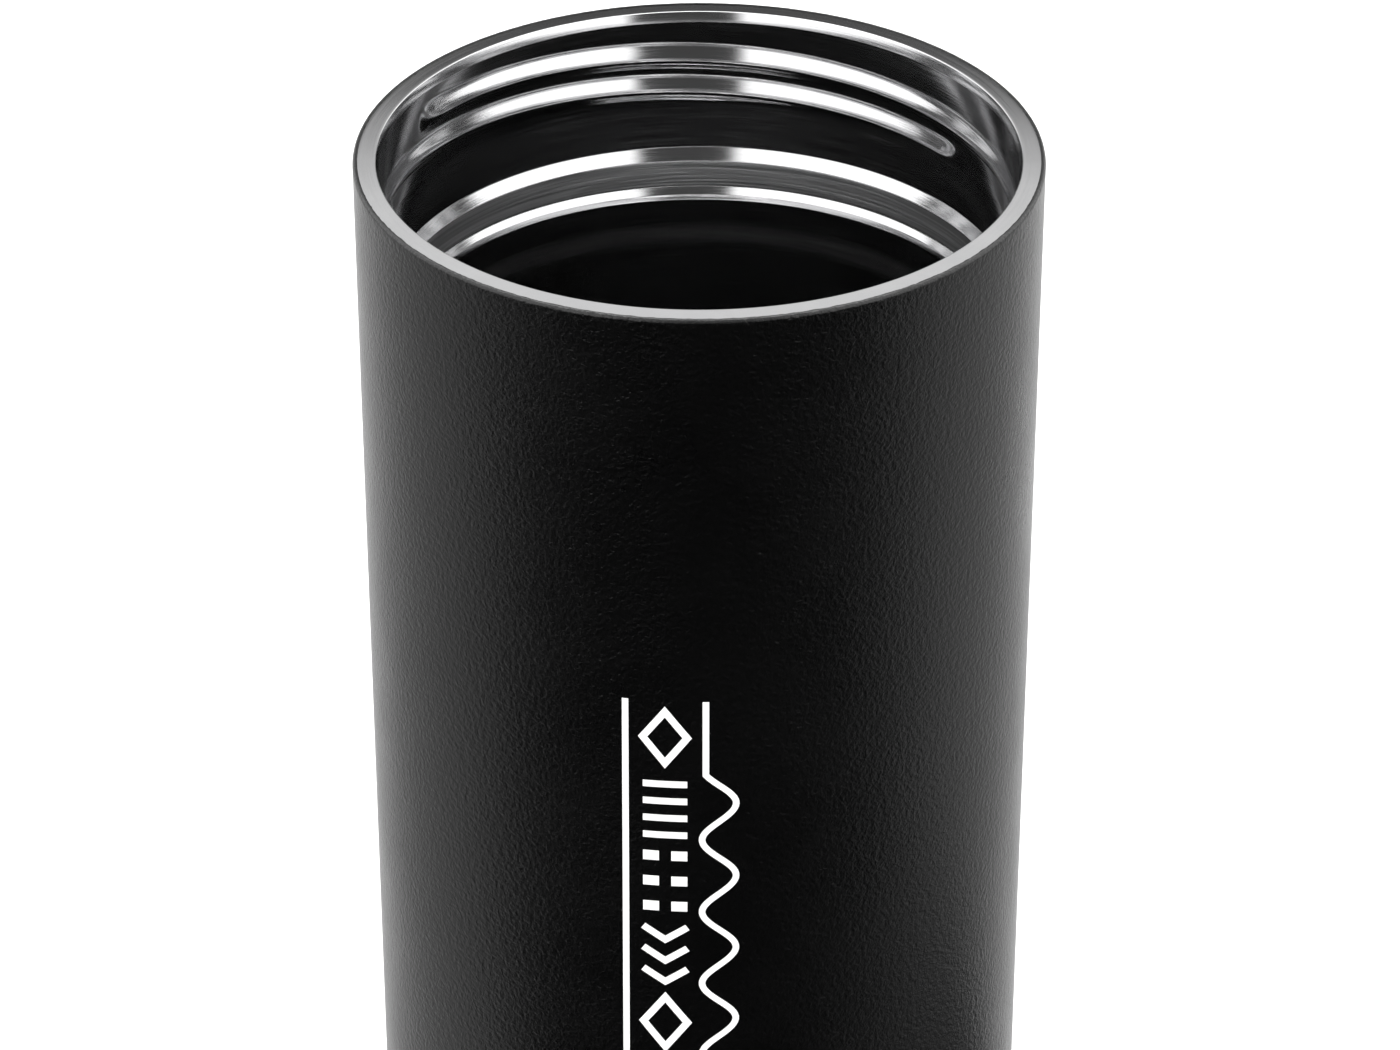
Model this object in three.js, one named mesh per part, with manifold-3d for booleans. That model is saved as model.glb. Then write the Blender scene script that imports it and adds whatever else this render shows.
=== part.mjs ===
// Double-wall vacuum tumbler with its push-to-open screw lid, which stands beside it.
// Millimetres, +Z up. The origin is the centre of the foot pad's underside.
// Round pieces are drawn as [radius, height] outlines that run counter-clockwise.
// Heights on the lid are measured from the tumbler's rim with the lid screwed home.
import * as THREE from 'three';
import { mergeVertices } from 'three/addons/utils/BufferGeometryUtils.js';
import Module from 'manifold-3d';

const wasm = await Module();
wasm.setup();

// ---- Driving dimensions: the tumbler ----
const bodyHeight = 185;
const rimRadius = 36.5; // outside of the coated shell at the rim
const shellTaper = 0.0166; // outside radius lost for each millimetre below the rim
const shellWall = 0.6;
const shellRimRound = 0.45; // rounded edge of the coat beside the bare rim
const shellFootRound = 3;
const shellFootLand = 3.4; // flat underside turned inwards at the foot
const footStandOff = 0.7; // the pad lifts the steel foot this far off the table
const linerWall = 0.5;
const rimFlange = 0.8; // thickness of the liner's flange, which makes the bare rim
const rimLand = 2; // flat ring on top of the rim
const rimLead = 0.3; // width of the conical lead-in from the flat ring to the mouth
const rimLeadDepth = 1.1;
const wallDepth = 10.9; // where the mouth's straight wall ends, below the rim
const neckHeight = 5; // the wall narrows gently from there to the shoulder
const neckStep = 0.85; // radius lost over the neck
const shoulderHeight = 1.25; // steep lead-in to the sealing band
const shoulderStep = 0.8;
const bandHeight = 3.05; // the nearly straight band that the lid seals on
const bandStep = 0.15;
const bandFootHeight = 0.7; // second slope, from the band to the vessel
const bandFootStep = 0.55;
const vesselRound = 0.6; // height of the rounding at the vessel's top
const vesselStep = 0.2; // radius lost over that rounding
const vesselTaper = 0.0133;
const vesselFloor = 10; // inside floor above the table
const vesselFootRound = 8;
const dishThickness = 0.6;
const dishRaise = 1.2; // how far the middle of the base dish is pressed up
const dishRaiseRadius = 17;
const dishSlope = 2.4;
const portRadius = 1.2; // hole that the air is drawn out through
const getterRadius = 4.5;
const getterHeight = 2.4;
const getterOffset = 8.6; // getter's centre from the tumbler's axis
const clipThickness = 0.3;
const clipWidth = 3;
const clipFoot = 1.6;

// ---- Driving dimensions: the two-start thread ----
const threadLead = 7.5;
const threadStarts = 2;
const ridgeDepth = 0.62;
const ridgeHeight = 2.8;
const ridgeTop = 3.85; // top edge of the first ridge below the rim, at the back
const ridgeSweep = 301;
const ridgeStart = -63; // where the first ridge begins, clockwise from the back
const ridgeCrestFrom = 0.57; // the crest's two edges, as shares of the ridge's height
const ridgeCrestTo = 0.72;
const lidRidgeBase = 1.9;
const lidRidgeCrest = 0.5;
const lidRidgeSweep = 200;
const lidRidgeStart = -20;

// ---- Driving dimensions: the lid ----
const lidGap = 12; // between the tumbler and the lid beside it
const rimGap = 0.3; // under the lid's flange when it is screwed home
const lidFlange = 3;
const lipHeight = 14;
const lipLean = 1.6; // radius lost from the flange to the drinking edge
const lipRound = 0.9;
const collarWall = 2.1;
const skirtWall = 1.7;
const skirtLip = 2.4; // least height of the skirt under the seal's groove
const plugChamfer = 0.9;
const sealHeight = 4.2;
const sealLead = 0.7; // the seal's top edge stands this far above the tumbler's shoulder
const sealSqueeze = 0.3; // how much the free seal stands into the tumbler's sealing band
const sealGrooveDepth = 0.5;
const noseGap = 0.5; // skirt to vessel wall
const seatDepth = 9.6; // top of the valve seat below the rim
const seatThickness = 2;
const seatOverlap = 2.4; // seat's reach over the valve disc
const flowGap = 2.6; // open ring round the valve disc
const drinkGap = 2; // open ring round the top cover
const coverTop = 8;
const coverThickness = 1.8;
const coverRimWall = 1.4;
const coverRimDepth = 2.4;
const bossRadius = 2.7;
const bossSplit = -1; // height where the cover's bosses meet the spider's
const bossCount = 3;
const screwRadius = 1;
const screwHeadRadius = 2.1;
const screwHeadHeight = 1.1;
const screwSocketRadius = 0.9;
const screwSocketDepth = 0.6;
const buttonRadius = 13.2;
const buttonProud = 0.8;
const buttonThickness = 1.6;
const buttonWall = 1.4;
const buttonSkirt = 7.3;
const buttonDish = 0.5;
const buttonRound = 0.6;
const guideWall = 2.1;
const guideLength = 7;
const wiperSection = 0.6; // radius of the wiper ring's round section
const plungerRadius = 6.2;
const plungerWall = 1.8;
const plungerReach = 8.6; // button top to the tips of its teeth
const toothCount = 8;
const toothHeight = 1.3;
const toothWidth = 2.6;
const rotorHeight = 2;
const stemRadius = 2.2;
const stemFlangeRadius = 5.9;
const stemFlangeHeight = 1.2;
const stemThreadDepth = 6;
const springRadius = 4.2; // to the middle of the wire
const wireRadius = 0.45;
const springTurns = 5;
const valveTravel = 4;
const pressPlay = 0.5; // the button moves this far before the rotor follows
const spiderRing = 2;
const spokeWidth = 3.2;
const spokeHeight = 2.6;
const hubWall = 2.4;
const hubTop = 1.5;
const hubFloor = 1.2;
const webThickness = 1.5;
const discRimThickness = 1.5;
const gasketHeight = 1.8;
const gasketFoot = 0.8;
const gasketWidth = 2.5;

// ---- Clearances ----
const seatGap = 0.1; // between pieces that rest, press or are welded on each other
const slideGap = 0.3; // between pieces that slide or turn in each other
const threadGap = 0.33; // lid's plug to the tumbler's ridges
const crestGap = 0.2; // lid's ridges to the tumbler's wall
const bearingGap = 0.2; // under the tumbler's ridges
const embed = 0.3; // how far a joined shape reaches into the one it joins

// ---- Fineness of round shapes ----
const largeSegments = 40;
const mediumSegments = 32;
const smallSegments = 16;
const ridgeStep = 9; // degrees
const arcSteps = 3;
const wireSides = 6;
const wireSteps = 12; // in each turn of the spring
const wiperSides = 8;

// ---- Sizes that follow ----
const radians = THREE.MathUtils.degToRad;
const shellRadius = (z) => rimRadius - shellTaper * (bodyHeight - z);
const mouthRadius = rimRadius - shellRimRound - rimLand - rimLead;
const footCentre = footStandOff + shellFootRound;
const footRadius = shellRadius(footCentre) - shellFootRound;
const landRadius = footRadius - shellFootLand;
const dishBottom = footStandOff + shellWall + seatGap;
const dishTop = dishBottom + dishRaise + dishThickness;
const shoulderDepth = wallDepth + neckHeight;
const bandDepth = shoulderDepth + shoulderHeight;
const bandFootDepth = bandDepth + bandHeight;
const shoulderRadius = mouthRadius - neckStep;
const bandRadius = shoulderRadius - shoulderStep;
const bandFootRadius = bandRadius - bandStep;
const bandRadiusAt = (depth) => bandRadius - (bandStep * (depth - bandDepth)) / bandHeight;
const throatRadius = bandFootRadius - bandFootStep;
const throatDepth = bandFootDepth + bandFootHeight;
const vesselRadius = throatRadius - vesselStep;
const vesselTop = bodyHeight - throatDepth - vesselRound;
const vesselRadiusAt = (z) => vesselRadius - vesselTaper * (vesselTop - z);

const plugRadius = mouthRadius - ridgeDepth - threadGap;
const collarBore = plugRadius - collarWall;
const noseRadius = vesselRadius - noseGap;
const skirtBore = noseRadius - skirtWall;
const sealGrooveRadius = noseRadius - sealGrooveDepth;
const plugDepth = wallDepth + (neckHeight * (mouthRadius - plugRadius - slideGap)) / neckStep;
const sealTop = sealLead - shoulderDepth;
const discRadius = skirtBore - flowGap;
const seatBore = discRadius - seatOverlap;
const seatBottom = -seatDepth - seatThickness;
const coverRadius = collarBore - drinkGap;
const hubBore = plungerRadius + slideGap;
const hubRadius = hubBore + hubWall;
const buttonTop = coverTop + buttonProud;
const buttonUnder = buttonTop - buttonDish - buttonThickness;
const buttonBore = buttonRadius + slideGap;
const bossCircle = (buttonBore + guideWall + seatBore) / 2;
const toothTips = buttonTop - plungerReach;
const rotorTop = toothTips - pressPlay - crestGap;
const rotorShoulder = rotorTop - toothHeight;
const rotorBottom = rotorShoulder - rotorHeight;
const stemFlangeTop = rotorBottom - seatGap;
const stemFlangeBottom = stemFlangeTop - stemFlangeHeight;
const springSolid = springTurns * 2 * wireRadius + seatGap;
const hubFloorTop = stemFlangeBottom - valveTravel - springSolid;
const hubBottom = hubFloorTop - hubFloor;
const webTop = hubBottom - slideGap - seatGap;
const webBottom = webTop - webThickness;
const stemHeadBottom = webBottom - seatGap - screwHeadHeight;
const skirtDepth = Math.max(valveTravel + slideGap - stemHeadBottom, sealHeight + skirtLip - sealTop);
const discRimTop = seatBottom - seatGap - gasketHeight - seatGap;
const gasketRadius = discRadius + slideGap - gasketWidth / 2;
const spiderBottom = -seatDepth + seatGap;
const lidX = 2 * rimRadius + lidGap;

// ---- Shape helpers ----

/** Points of an arc in the outline plane, from one angle to another in degrees. */
function arc(radius, height, size, from, to, steps = arcSteps) {
  const points = [];
  for (let i = 0; i <= steps; i += 1) {
    const angle = radians(from + ((to - from) * i) / steps);
    points.push([radius + size * Math.cos(angle), height + size * Math.sin(angle)]);
  }
  return points;
}

/** A solid of revolution about +Z. An outline that stays off the axis is closed on itself. */
function turned(outline, segments) {
  const points = outline.map(([radius, height]) => new THREE.Vector2(radius, height));
  if (outline[0][0] > 0) points.push(points[0].clone());
  const geometry = new THREE.LatheGeometry(points, segments);
  geometry.rotateX(Math.PI / 2);
  return geometry;
}

function solidOf(geometry) {
  const bare = geometry.index ? geometry.clone() : geometry;
  bare.deleteAttribute('normal');
  bare.deleteAttribute('uv');
  const merged = mergeVertices(bare, 1e-4);
  const triangles = [];
  for (let i = 0; i < merged.index.count; i += 3) {
    const [a, b, c] = [merged.index.getX(i), merged.index.getX(i + 1), merged.index.getX(i + 2)];
    if (a !== b && b !== c && c !== a) triangles.push(a, b, c);
  }
  const mesh = new wasm.Mesh({
    numProp: 3,
    vertProperties: new Float32Array(merged.attributes.position.array),
    triVerts: new Uint32Array(triangles),
  });
  return new wasm.Manifold(mesh);
}

function geometryOf(solid) {
  const mesh = solid.getMesh();
  const geometry = new THREE.BufferGeometry();
  geometry.setAttribute('position', new THREE.BufferAttribute(mesh.vertProperties, 3));
  geometry.setIndex(new THREE.BufferAttribute(mesh.triVerts, 1));
  geometry.computeVertexNormals();
  return geometry;
}

/** Joins the added shapes to a base shape, then cuts the others away. */
function joined(base, added, cut = []) {
  let solid = solidOf(base);
  for (const shape of added) solid = solid.add(solidOf(shape));
  for (const shape of cut) solid = solid.subtract(solidOf(shape));
  return geometryOf(solid);
}

/** A section in the outline plane swept clockwise, seen from above, down a helix.
 * Its ends fade into the wall: wallRadius is the radius that the section sinks to. */
function ridge(section, wallRadius, start, sweep) {
  const fade = 0.06;
  const shape = new THREE.Shape(section.map(([radius, height]) => new THREE.Vector2(radius, height)));
  const steps = Math.round(sweep / ridgeStep);
  const geometry = new THREE.ExtrudeGeometry(shape, { depth: 1, steps, bevelEnabled: false });
  const position = geometry.attributes.position;
  for (let i = 0; i < position.count; i += 1) {
    const along = position.getZ(i);
    const angle = radians(start + sweep * along);
    const strength = Math.min(1, along / fade, (1 - along) / fade);
    const sunk = wallRadius + (position.getX(i) - wallRadius) * strength;
    const height = position.getY(i) - (threadLead * (start + sweep * along)) / 360;
    position.setXYZ(i, sunk * Math.sin(angle), sunk * Math.cos(angle), height);
  }
  return geometry;
}

/** One ridge for each thread start, half a turn apart and at the same heights. */
function ridges(section, wallRadius, start, sweep) {
  const made = [];
  for (let i = 0; i < threadStarts; i += 1) {
    const turn = (360 * i) / threadStarts;
    const geometry = ridge(section, wallRadius, start, sweep);
    geometry.rotateZ(-radians(turn));
    made.push(geometry);
  }
  return made;
}

function cylinder(radius, bottom, top, x = 0, y = 0) {
  const geometry = turned([[0, bottom], [radius, bottom], [radius, top], [0, top]], smallSegments);
  geometry.translate(x, y, 0);
  return geometry;
}

/** Calls make with each of count places on a circle, the first at the back. */
function around(count, make) {
  return Array.from({ length: count }, (_, i) => make(Math.PI / 2 - (2 * Math.PI * i) / count, i));
}

// ---- Materials ----
const material = (color, roughness, metalness) =>
  new THREE.MeshStandardMaterial({ color, roughness, metalness });
const powderCoat = material(0x141416, 0.6, 0.1);
const steel = material(0xa9abad, 0.3, 1);
const springSteel = material(0xb9bbbf, 0.35, 1);
const polypropylene = material(0x17181a, 0.5, 0);
const acetal = material(0xdcdcd6, 0.45, 0);
const silicone = material(0x2b2c2e, 0.75, 0);
const getterAlloy = material(0x6d6a66, 0.8, 0.6);
const solderGlass = material(0x5a6068, 0.2, 0);

const tumbler = new THREE.Group();
const lid = new THREE.Group();
lid.position.set(lidX, 0, skirtDepth);
const model = new THREE.Group();
model.add(tumbler, lid);

function piece(parent, name, geometry, finish) {
  const mesh = new THREE.Mesh(geometry, finish);
  mesh.name = name;
  parent.add(mesh);
}

// ---- Tumbler ----

function outerShell() {
  const shoulder = bodyHeight - rimFlange - seatGap;
  const edgeRadius = rimRadius - shellRimRound;
  return turned([
    [landRadius, footStandOff],
    ...arc(footRadius, footCentre, shellFootRound, -90, 0),
    ...arc(edgeRadius, bodyHeight - shellRimRound, shellRimRound, 0, 90),
    [edgeRadius, shoulder],
    [shellRadius(shoulder) - shellWall, shoulder],
    ...arc(footRadius, footCentre, shellFootRound - shellWall, 0, -90),
    [landRadius, footStandOff + shellWall],
  ], largeSegments);
}

function innerLiner() {
  const footHeight = vesselFloor + vesselFootRound;
  const footCorner = vesselRadiusAt(footHeight) - vesselFootRound;
  const flangeRadius = rimRadius - shellRimRound - seatGap;
  const wall = turned([
    [0, vesselFloor - linerWall],
    ...arc(footCorner, footHeight, vesselFootRound + linerWall, -90, 0),
    [vesselRadius + linerWall, vesselTop],
    [throatRadius + linerWall, bodyHeight - throatDepth],
    [bandFootRadius + linerWall, bodyHeight - bandFootDepth],
    [bandRadius + linerWall, bodyHeight - bandDepth],
    [shoulderRadius + linerWall, bodyHeight - shoulderDepth],
    [mouthRadius + linerWall, bodyHeight - wallDepth],
    [mouthRadius + linerWall, bodyHeight - rimFlange],
    [flangeRadius, bodyHeight - rimFlange],
    [flangeRadius, bodyHeight],
    [mouthRadius + rimLead, bodyHeight],
    [mouthRadius, bodyHeight - rimLeadDepth],
    [mouthRadius, bodyHeight - wallDepth],
    [shoulderRadius, bodyHeight - shoulderDepth],
    [bandRadius, bodyHeight - bandDepth],
    [bandFootRadius, bodyHeight - bandFootDepth],
    [throatRadius, bodyHeight - throatDepth],
    [vesselRadius, vesselTop],
    ...arc(footCorner, footHeight, vesselFootRound, 0, -90),
    [0, vesselFloor],
  ], largeSegments);
  const top = bodyHeight - ridgeTop;
  const crest = mouthRadius - ridgeDepth;
  const section = [
    [mouthRadius + embed, top - ridgeHeight],
    [mouthRadius + embed, top],
    [mouthRadius, top],
    [crest, top - ridgeHeight * ridgeCrestFrom],
    [crest, top - ridgeHeight * ridgeCrestTo],
    [mouthRadius, top - ridgeHeight],
  ];
  return joined(wall, ridges(section, mouthRadius + embed, ridgeStart, ridgeSweep));
}

function baseDish() {
  const slopeEnd = dishRaiseRadius + dishSlope;
  return turned([
    [portRadius, dishBottom + dishRaise],
    [dishRaiseRadius, dishBottom + dishRaise],
    [slopeEnd, dishBottom],
    [footRadius, dishBottom],
    [footRadius, dishBottom + dishThickness],
    [slopeEnd, dishBottom + dishThickness],
    [dishRaiseRadius, dishTop],
    [portRadius, dishTop],
  ], mediumSegments);
}

/** Glass bead that closes the port from below, with a plug that stands in the hole. */
function portSeal() {
  const top = dishBottom + dishRaise - seatGap;
  const beadRadius = 2 * portRadius;
  return turned([
    [0, top - dishRaise / 2],
    [beadRadius / 2, top - dishRaise / 2],
    [beadRadius, top - dishRaise / 4],
    [beadRadius, top],
    [portRadius - seatGap, top],
    [portRadius - seatGap, dishTop],
    [0, dishTop],
  ], smallSegments);
}

function getterPellet() {
  const bottom = dishTop + seatGap;
  return cylinder(getterRadius, bottom, bottom + getterHeight, getterOffset);
}

/** A strap over the pellet with a foot each side, drawn from the side and made clipWidth wide. */
function getterClip() {
  const bottom = dishTop + seatGap;
  const inside = getterRadius + seatGap;
  const outside = inside + clipThickness;
  const top = bottom + getterHeight + seatGap;
  const shape = new THREE.Shape([
    [-outside - clipFoot, bottom],
    [-inside, bottom],
    [-inside, top],
    [inside, top],
    [inside, bottom],
    [outside + clipFoot, bottom],
    [outside + clipFoot, bottom + clipThickness],
    [outside, bottom + clipThickness],
    [outside, top + clipThickness],
    [-outside, top + clipThickness],
    [-outside, bottom + clipThickness],
    [-outside - clipFoot, bottom + clipThickness],
  ].map(([x, z]) => new THREE.Vector2(x, z)));
  const geometry = new THREE.ExtrudeGeometry(shape, { depth: clipWidth, bevelEnabled: false });
  geometry.rotateX(Math.PI / 2);
  geometry.translate(getterOffset, clipWidth / 2, 0);
  return geometry;
}

function footPad() {
  const radius = landRadius - slideGap;
  const top = dishBottom - seatGap;
  const chamfer = footStandOff / 2;
  return turned([
    [0, 0],
    [radius - chamfer, 0],
    [radius, chamfer],
    [radius, top],
    [0, top],
  ], mediumSegments);
}

piece(tumbler, 'outer_shell', outerShell(), powderCoat);
piece(tumbler, 'inner_liner', innerLiner(), steel);
piece(tumbler, 'base_dish', baseDish(), steel);
piece(tumbler, 'port_seal', portSeal(), solderGlass);
piece(tumbler, 'getter_pellet', getterPellet(), getterAlloy);
piece(tumbler, 'getter_clip', getterClip(), springSteel);
piece(tumbler, 'foot_pad', footPad(), silicone);

// ---- Lid: fixed pieces ----

function lidCollar() {
  const lipRadius = rimRadius - lipLean;
  const body = turned([
    [skirtBore, -skirtDepth],
    [noseRadius, -skirtDepth],
    [noseRadius, sealTop - sealHeight - seatGap],
    [sealGrooveRadius, sealTop - sealHeight - seatGap],
    [sealGrooveRadius, sealTop + seatGap],
    [plugRadius - plugChamfer, sealTop + seatGap],
    [plugRadius, -plugDepth],
    [plugRadius, rimGap],
    [rimRadius - shellRimRound, rimGap],
    [rimRadius, rimGap + shellRimRound],
    [rimRadius, rimGap + lidFlange],
    ...arc(lipRadius - lipRound, lipHeight - lipRound, lipRound, 0, 180),
    [collarBore, lidFlange],
    [collarBore, -seatDepth],
    [seatBore, -seatDepth],
    [seatBore, seatBottom],
    [skirtBore, seatBottom],
  ], largeSegments);
  const wallBelow = mouthRadius - ridgeDepth;
  const crest = mouthRadius - crestGap;
  const flankDrop = (ridgeHeight * (1 - ridgeCrestTo) * (crest - wallBelow)) / ridgeDepth;
  const crestTop = -ridgeTop - ridgeHeight * ridgeCrestTo - flankDrop - bearingGap;
  const baseTop = crestTop + (lidRidgeBase - lidRidgeCrest) / 2;
  const section = [
    [plugRadius - embed, baseTop - lidRidgeBase],
    [plugRadius, baseTop - lidRidgeBase],
    [crest, crestTop - lidRidgeCrest],
    [crest, crestTop],
    [plugRadius, baseTop],
    [plugRadius - embed, baseTop],
  ];
  return joined(body, ridges(section, plugRadius - embed, lidRidgeStart, lidRidgeSweep));
}

/** Ring whose face follows the tumbler's sealing band, standing into it by the squeeze. */
function collarSeal() {
  const inner = sealGrooveRadius + seatGap;
  const faceTop = -bandDepth - sealSqueeze;
  const faceBottom = sealTop - sealHeight + sealSqueeze;
  return turned([
    [inner, sealTop - sealHeight],
    [bandRadiusAt(-faceBottom) - sealSqueeze, sealTop - sealHeight],
    [bandRadiusAt(-faceBottom) + sealSqueeze, faceBottom],
    [bandRadiusAt(-faceTop) + sealSqueeze, faceTop],
    [bandRadiusAt(-faceTop) - sealSqueeze, sealTop],
    [inner, sealTop],
  ], largeSegments);
}

function spiderFrame() {
  const ring = turned([
    [seatBore + slideGap, spiderBottom],
    [collarBore - slideGap, spiderBottom],
    [collarBore - slideGap, spiderBottom + spiderRing],
    [seatBore + slideGap, spiderBottom + spiderRing],
  ], mediumSegments);
  const hub = turned([
    [stemRadius + slideGap, hubBottom],
    [hubRadius, hubBottom],
    [hubRadius, hubTop],
    [hubBore, hubTop],
    [hubBore, hubFloorTop],
    [stemRadius + slideGap, hubFloorTop],
  ], smallSegments);
  const recessTop = spiderBottom + screwHeadHeight + 2 * seatGap;
  const spokeFrom = hubRadius - hubWall / 2;
  const spokeTo = seatBore + slideGap + embed;
  const spokes = around(bossCount, (angle) => {
    const spoke = new THREE.BoxGeometry(spokeTo - spokeFrom, spokeWidth, spokeHeight);
    spoke.translate((spokeFrom + spokeTo) / 2, 0, spiderBottom + spokeHeight / 2);
    spoke.rotateZ(angle);
    return spoke;
  });
  const at = (angle) => [bossCircle * Math.cos(angle), bossCircle * Math.sin(angle)];
  const bosses = around(bossCount, (angle) =>
    cylinder(bossRadius, spiderBottom, bossSplit - seatGap, ...at(angle)));
  const holes = around(bossCount, (angle) =>
    cylinder(screwRadius + seatGap, spiderBottom - embed, bossSplit + embed, ...at(angle)));
  const recesses = around(bossCount, (angle) =>
    cylinder(screwHeadRadius + seatGap, spiderBottom - embed, recessTop, ...at(angle)));
  return joined(ring, [hub, ...spokes, ...bosses], [...holes, ...recesses]);
}

/** Top disc with a turned-down edge and a button guide under it, three bosses, and the bore
 * for the button with the wiper ring's groove. */
function topCover() {
  const under = coverTop - coverThickness;
  const grooveMiddle = coverTop - guideLength / 2;
  const grooveHalf = wiperSection + seatGap;
  const grooveRadius = buttonBore + 2 * wiperSection;
  const edgeRound = coverThickness / 2;
  const disc = turned([
    [0, coverTop - guideLength],
    [buttonBore + guideWall, coverTop - guideLength],
    [buttonBore + guideWall, under],
    [coverRadius - coverRimWall, under],
    [coverRadius - coverRimWall, under - coverRimDepth],
    [coverRadius, under - coverRimDepth],
    ...arc(coverRadius - edgeRound, coverTop - edgeRound, edgeRound, 0, 90),
    [0, coverTop],
  ], mediumSegments);
  const bore = turned([
    [0, bossSplit - embed],
    [buttonBore, bossSplit - embed],
    [buttonBore, grooveMiddle - grooveHalf],
    [grooveRadius, grooveMiddle - grooveHalf],
    [grooveRadius, grooveMiddle + grooveHalf],
    [buttonBore, grooveMiddle + grooveHalf],
    [buttonBore, coverTop + embed],
    [0, coverTop + embed],
  ], mediumSegments);
  const at = (angle) => [bossCircle * Math.cos(angle), bossCircle * Math.sin(angle)];
  const bosses = around(bossCount, (angle) =>
    cylinder(bossRadius, bossSplit, under + embed, ...at(angle)));
  const holes = around(bossCount, (angle) =>
    cylinder(screwRadius + seatGap, bossSplit - embed, under, ...at(angle)));
  return joined(disc, bosses, [bore, ...holes]);
}

/** A screw with its head down and a round socket in it, standing on its head's underside. */
function screw(headBottom, tip) {
  const headTop = headBottom + screwHeadHeight;
  return turned([
    [0, headBottom + screwSocketDepth],
    [screwSocketRadius, headBottom + screwSocketDepth],
    [screwSocketRadius, headBottom],
    [screwHeadRadius, headBottom],
    [screwHeadRadius, headTop],
    [screwRadius, headTop],
    [screwRadius, tip - screwRadius],
    [0, tip],
  ], smallSegments);
}

function coverScrew(angle) {
  const tip = coverTop - coverThickness - seatGap;
  const geometry = screw(spiderBottom + seatGap, tip);
  geometry.translate(bossCircle * Math.cos(angle), bossCircle * Math.sin(angle), 0);
  return geometry;
}

function wiperRing() {
  const middle = coverTop - guideLength / 2;
  const radius = buttonBore + wiperSection - seatGap;
  const lastAngle = 360 - 360 / wiperSides;
  return turned(arc(radius, middle, wiperSection, 0, lastAngle, wiperSides - 1), mediumSegments);
}

class Helix extends THREE.Curve {
  constructor(radius, bottom, height, turns) {
    super();
    Object.assign(this, { radius, bottom, height, turns });
  }

  getPoint(t, target = new THREE.Vector3()) {
    const angle = 2 * Math.PI * this.turns * t;
    const [x, y] = [this.radius * Math.cos(angle), this.radius * Math.sin(angle)];
    return target.set(x, y, this.bottom + this.height * t);
  }
}

function valveSpring() {
  const bottom = hubFloorTop + wireRadius + seatGap;
  const top = stemFlangeBottom - wireRadius - seatGap;
  const corners = arc(0, 0, wireRadius, 0, 360 - 360 / wireSides, wireSides - 1);
  const wire = new THREE.Shape(corners.map(([x, y]) => new THREE.Vector2(x, y)));
  return new THREE.ExtrudeGeometry(wire, {
    extrudePath: new Helix(springRadius, bottom, top - bottom, springTurns),
    steps: springTurns * wireSteps,
    bevelEnabled: false,
  });
}

piece(lid, 'lid_collar', lidCollar(), polypropylene);
piece(lid, 'collar_seal', collarSeal(), silicone);
piece(lid, 'spider_frame', spiderFrame(), acetal);
piece(lid, 'top_cover', topCover(), polypropylene);
around(bossCount, (angle, i) => piece(lid, `cover_screw_${i + 1}`, coverScrew(angle), springSteel));
piece(lid, 'wiper_ring', wiperRing(), silicone);
piece(lid, 'valve_spring', valveSpring(), springSteel);

// ---- Lid: moving pieces ----

/** Ratchet teeth on the end of a tube, pointing up or down, each a right-angled wedge. */
function teeth(root, pointing) {
  return around(toothCount, (angle) => {
    const shape = new THREE.Shape([
      new THREE.Vector2(-toothWidth / 2, -embed),
      new THREE.Vector2(toothWidth / 2, -embed),
      new THREE.Vector2(toothWidth / 2, toothHeight),
      new THREE.Vector2(-toothWidth / 2, 0),
    ]);
    const wedge = new THREE.ExtrudeGeometry(shape, { depth: plungerWall - embed, bevelEnabled: false });
    wedge.rotateX(Math.PI / 2);
    wedge.translate(0, plungerRadius - embed / 2, 0);
    if (pointing < 0) wedge.rotateY(Math.PI);
    wedge.rotateZ(angle);
    wedge.translate(0, 0, root);
    return wedge;
  });
}

function buttonCap() {
  const inside = plungerRadius - plungerWall;
  const root = toothTips + toothHeight;
  const cap = turned([
    [0, buttonUnder],
    [inside, buttonUnder],
    [inside, root],
    [plungerRadius, root],
    [plungerRadius, buttonUnder],
    [buttonRadius - buttonWall, buttonUnder],
    [buttonRadius - buttonWall, buttonTop - buttonSkirt],
    [buttonRadius, buttonTop - buttonSkirt],
    ...arc(buttonRadius - buttonRound, buttonTop - buttonRound, buttonRound, 0, 90),
    [hubRadius, buttonTop - buttonDish * 0.8],
    [0, buttonTop - buttonDish],
  ], mediumSegments);
  return joined(cap, teeth(root, -1));
}

function clickRotor() {
  const ring = turned([
    [stemRadius + slideGap, rotorBottom],
    [plungerRadius, rotorBottom],
    [plungerRadius, rotorShoulder],
    [stemRadius + slideGap, rotorShoulder],
  ], smallSegments);
  return joined(ring, teeth(rotorShoulder, 1));
}

/** Rod with a flange under the rotor, a short spigot inside it and a threaded hole from below. */
function valveStem() {
  const bottom = webTop + seatGap;
  const threadRadius = screwRadius + seatGap;
  return turned([
    [0, bottom + stemThreadDepth],
    [threadRadius, bottom + stemThreadDepth],
    [threadRadius, bottom],
    [stemRadius, bottom],
    [stemRadius, stemFlangeBottom],
    [stemFlangeRadius, stemFlangeBottom],
    [stemFlangeRadius, stemFlangeTop],
    [stemRadius, stemFlangeTop],
    [stemRadius, rotorShoulder],
    [0, rotorShoulder],
  ], smallSegments);
}

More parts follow.
